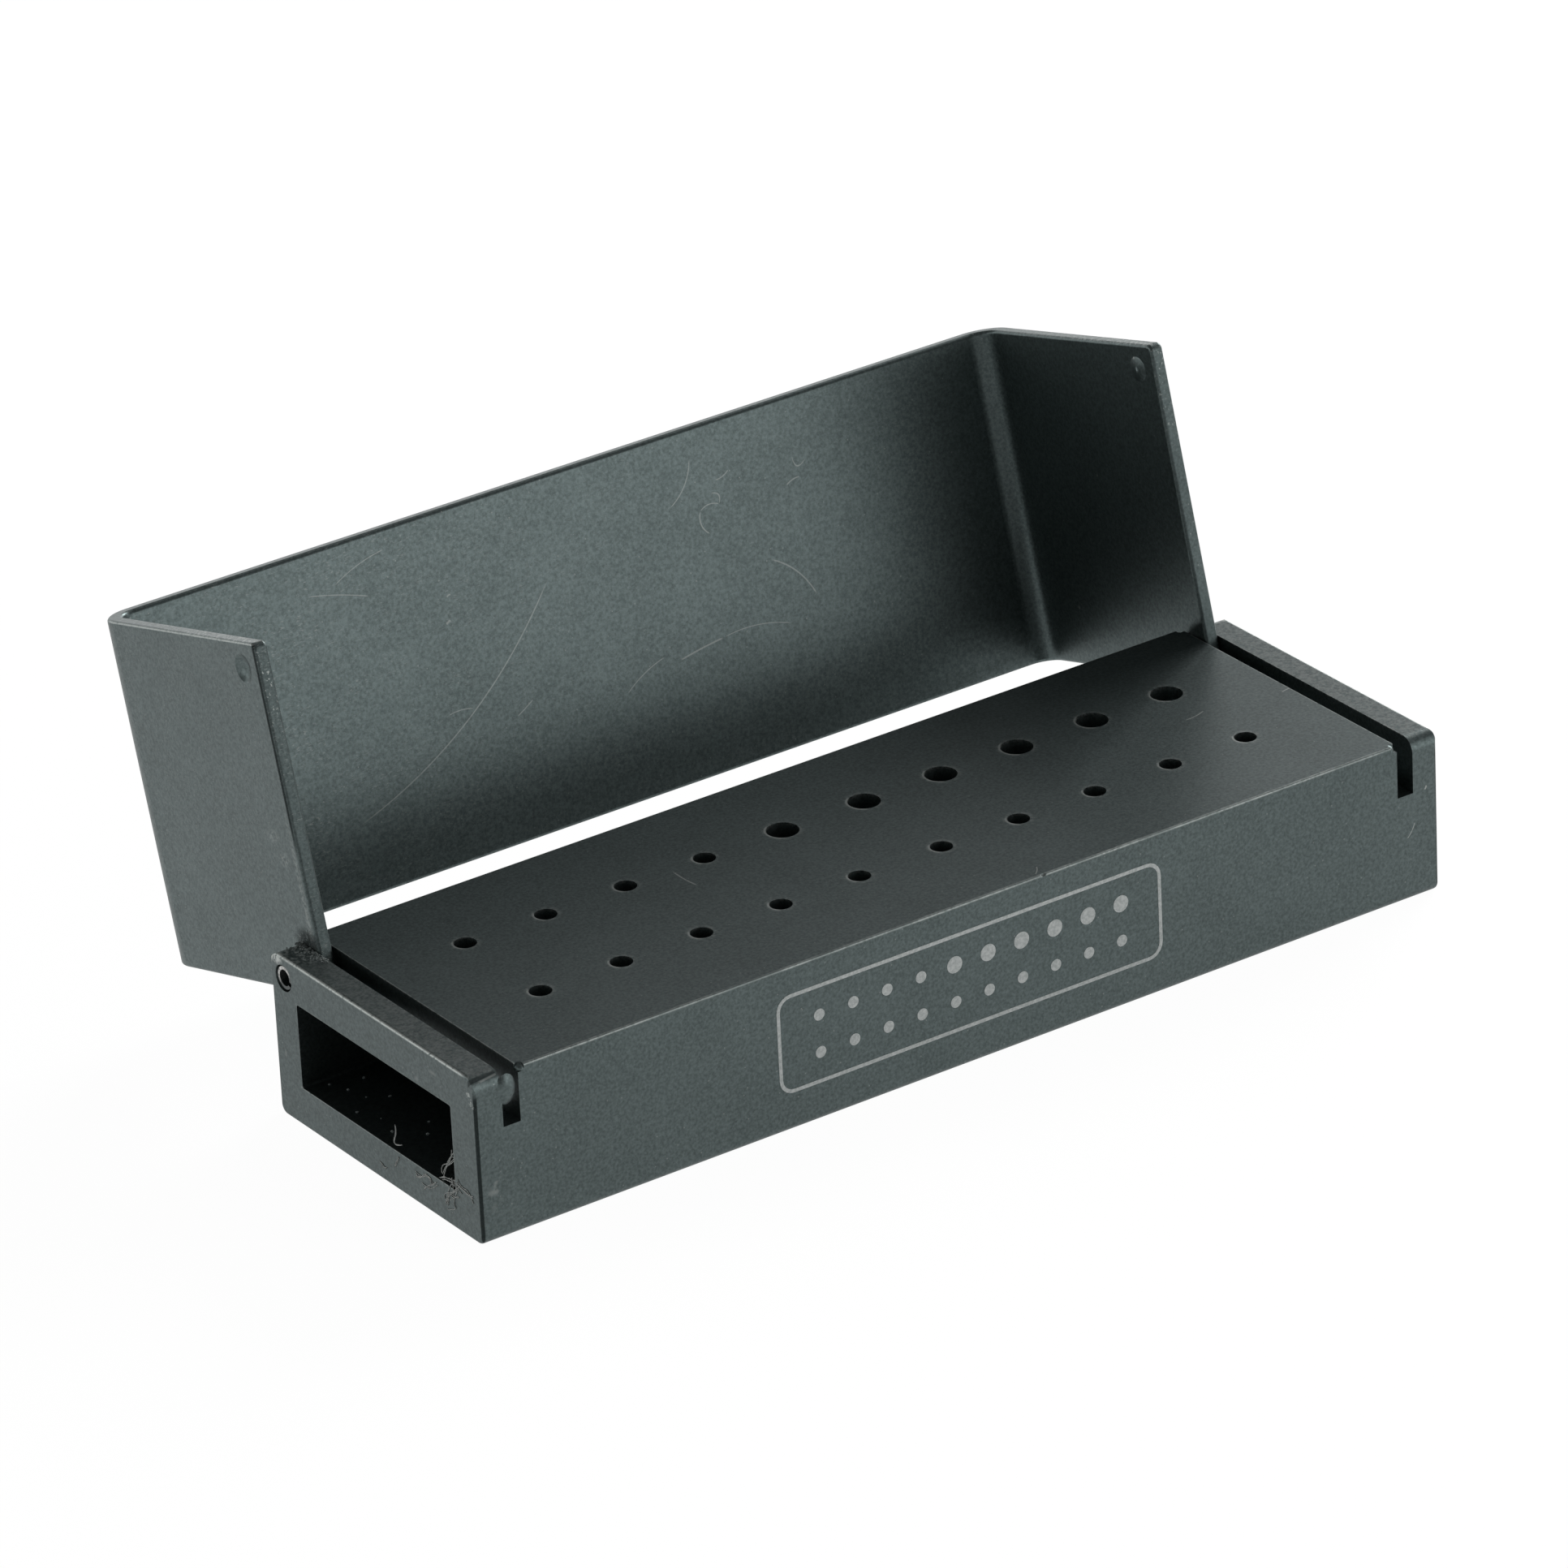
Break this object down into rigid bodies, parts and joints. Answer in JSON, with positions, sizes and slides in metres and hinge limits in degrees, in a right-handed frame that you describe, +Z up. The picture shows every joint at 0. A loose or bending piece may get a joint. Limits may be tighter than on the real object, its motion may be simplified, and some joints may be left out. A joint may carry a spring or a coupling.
{
  "type": "dental bur block",
  "caption": "Rectangular aluminium block drilled in two rows for dental burs, with slotted ends and a hinged sheet cover that folds open on spring pins.",
  "frame": {"origin": "centre of the block's flat underside", "axes": "+X along the block, +Y towards the hinged back, +Z up"},
  "size_m": [0.0826, 0.0502, 0.0341],
  "materials": {
    "block_anodised": "matte",
    "cover_anodised": "matte",
    "pin_steel": "satin"
  },
  "bodies": {
    "block": {"block": "block_anodised", "hinge_pin_left": "pin_steel", "hinge_pin_right": "pin_steel"},
    "cover": {"cover": "cover_anodised"}
  },
  "joints": [
    {"name": "cover_hinge", "type": "hinge", "parent": "block", "child": "cover", "pos_m": [0, 0.0111, 0.01105], "axis": [1, 0, 0], "range_deg": [0, 105.2]}
  ]
}
